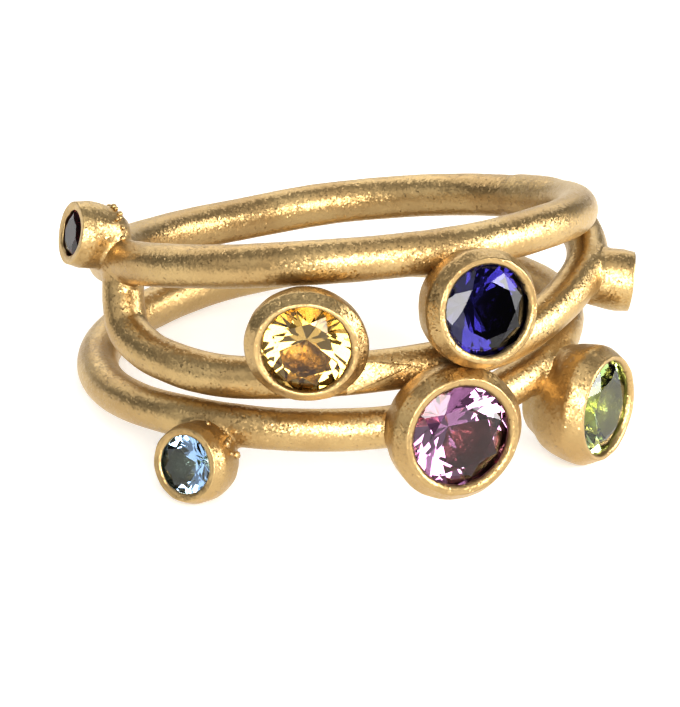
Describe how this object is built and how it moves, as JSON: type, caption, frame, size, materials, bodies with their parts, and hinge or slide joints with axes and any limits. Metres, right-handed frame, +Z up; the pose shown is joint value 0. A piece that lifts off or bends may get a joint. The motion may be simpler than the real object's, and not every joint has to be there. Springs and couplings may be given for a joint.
{
  "type": "stacked wire ring with gemstones",
  "caption": "Finger ring of round matte gold wires wound and soldered into a loose stack, with round cut gemstones in cups standing out of it.",
  "frame": {"origin": "centre of the box on the table under the ring as it lies", "axes": "+Z up from the table; -Y towards the front with the yellow stone; the finger's axis leans 12 degrees from +Z, back and to the right"},
  "size_m": [0.0234, 0.0222, 0.011],
  "materials": {
    "gold": "18 carat yellow gold, matted with a fine wire brush and grit",
    "yellow_stone": "pale honey quartz, round cut, polished",
    "violet_stone": "deep violet blue iolite, round cut, polished",
    "pink_stone": "mauve pink tourmaline, round cut, polished",
    "green_stone": "yellow green peridot, round cut, polished",
    "blue_stone": "sky blue topaz, round cut, polished",
    "dark_red_stone": "dark garnet, round cut, polished",
    "side_stone": null
  },
  "bodies": {
    "root": {"band": "gold", "yellow_stone": "yellow_stone", "violet_stone": "violet_stone", "pink_stone": "pink_stone", "green_stone": "green_stone", "blue_stone": "blue_stone", "dark_red_stone": "dark_red_stone", "side_stone": "side_stone"}
  },
  "joints": []
}
